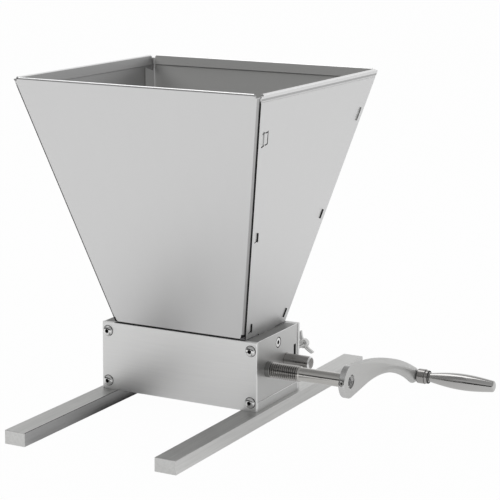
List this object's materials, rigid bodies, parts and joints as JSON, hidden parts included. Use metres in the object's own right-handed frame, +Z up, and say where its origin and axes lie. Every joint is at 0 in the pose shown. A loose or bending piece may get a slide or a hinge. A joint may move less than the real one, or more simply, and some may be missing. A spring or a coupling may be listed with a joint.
{
  "type": "hand grain mill",
  "caption": "Hand-cranked roller mill: tapered sheet hopper over a bolted roller box on two rails, with a curved crank, a turning grip and an eccentric gap setting.",
  "frame": {"origin": "on the floor under the middle of the roller box", "axes": "+X along the rollers towards the crank, +Y to the back, +Z up"},
  "size_m": [0.3521, 0.358, 0.2975],
  "materials": {
    "hopper_sheet": "satin",
    "box_plate": "brushed",
    "rail_bar": "brushed",
    "bright_screw": "polished",
    "dark_screw": "dark oxide",
    "bronze_bush": "machined",
    "roller_steel": "machined",
    "shaft_steel": "ground",
    "crank_steel": "satin",
    "polished_grip": "polished"
  },
  "bodies": {
    "mill_frame": {"hopper_front": "hopper_sheet", "hopper_back": "hopper_sheet", "hopper_left": "hopper_sheet", "hopper_right": "hopper_sheet", "front_plate": "box_plate", "back_plate": "box_plate", "end_plate_left": "box_plate", "end_plate_right": "box_plate", "base_rail_left": "rail_bar", "base_rail_right": "rail_bar", "front_plate_screws": "bright_screw", "back_plate_screws": "bright_screw", "hopper_screws": "bright_screw", "hopper_nuts": "bright_screw", "rail_bolts": "dark_screw", "lock_nuts": "dark_screw", "drive_bush_left": "bronze_bush", "drive_bush_right": "bronze_bush"},
    "crank": {"drive_roller": "roller_steel", "drive_shaft": "shaft_steel", "crank_arm": "crank_steel", "crank_set_screw": "dark_screw", "grip_spindle": "shaft_steel"},
    "grip": {"grip_ferrule": "polished_grip", "crank_grip": "polished_grip"},
    "gap_axle": {"gap_axle": "shaft_steel"},
    "idle_roller": {"idle_roller": "roller_steel", "idle_bush_left": "bronze_bush", "idle_bush_right": "bronze_bush"},
    "wing_screw_left": {"wing_screw_left": "bright_screw"},
    "wing_screw_right": {"wing_screw_right": "bright_screw"}
  },
  "joints": [
    {"name": "crank_turn", "type": "hinge", "parent": "mill_frame", "child": "crank", "pos_m": [0, -0.0177, 0.0455], "axis": [1, 0, 0], "continuous": true},
    {"name": "grip_spin", "type": "hinge", "parent": "crank", "child": "grip", "pos_m": [0.16, 0.1253, 0.0155], "axis": [1, 0, 0], "continuous": true},
    {"name": "gap_set", "type": "hinge", "parent": "mill_frame", "child": "gap_axle", "pos_m": [0, 0.0177, 0.0455], "axis": [1, 0, 0], "range_deg": [-90, 90]},
    {"name": "idle_spin", "type": "hinge", "parent": "gap_axle", "child": "idle_roller", "pos_m": [0, 0.0177, 0.0465], "axis": [1, 0, 0], "continuous": true},
    {"name": "lock_left", "type": "hinge", "parent": "mill_frame", "child": "wing_screw_left", "pos_m": [-0.072, 0.06, 0.049], "axis": [0, 1, 0], "range_deg": [0, 360]},
    {"name": "lock_right", "type": "hinge", "parent": "mill_frame", "child": "wing_screw_right", "pos_m": [0.072, 0.06, 0.049], "axis": [0, 1, 0], "range_deg": [0, 360]}
  ]
}
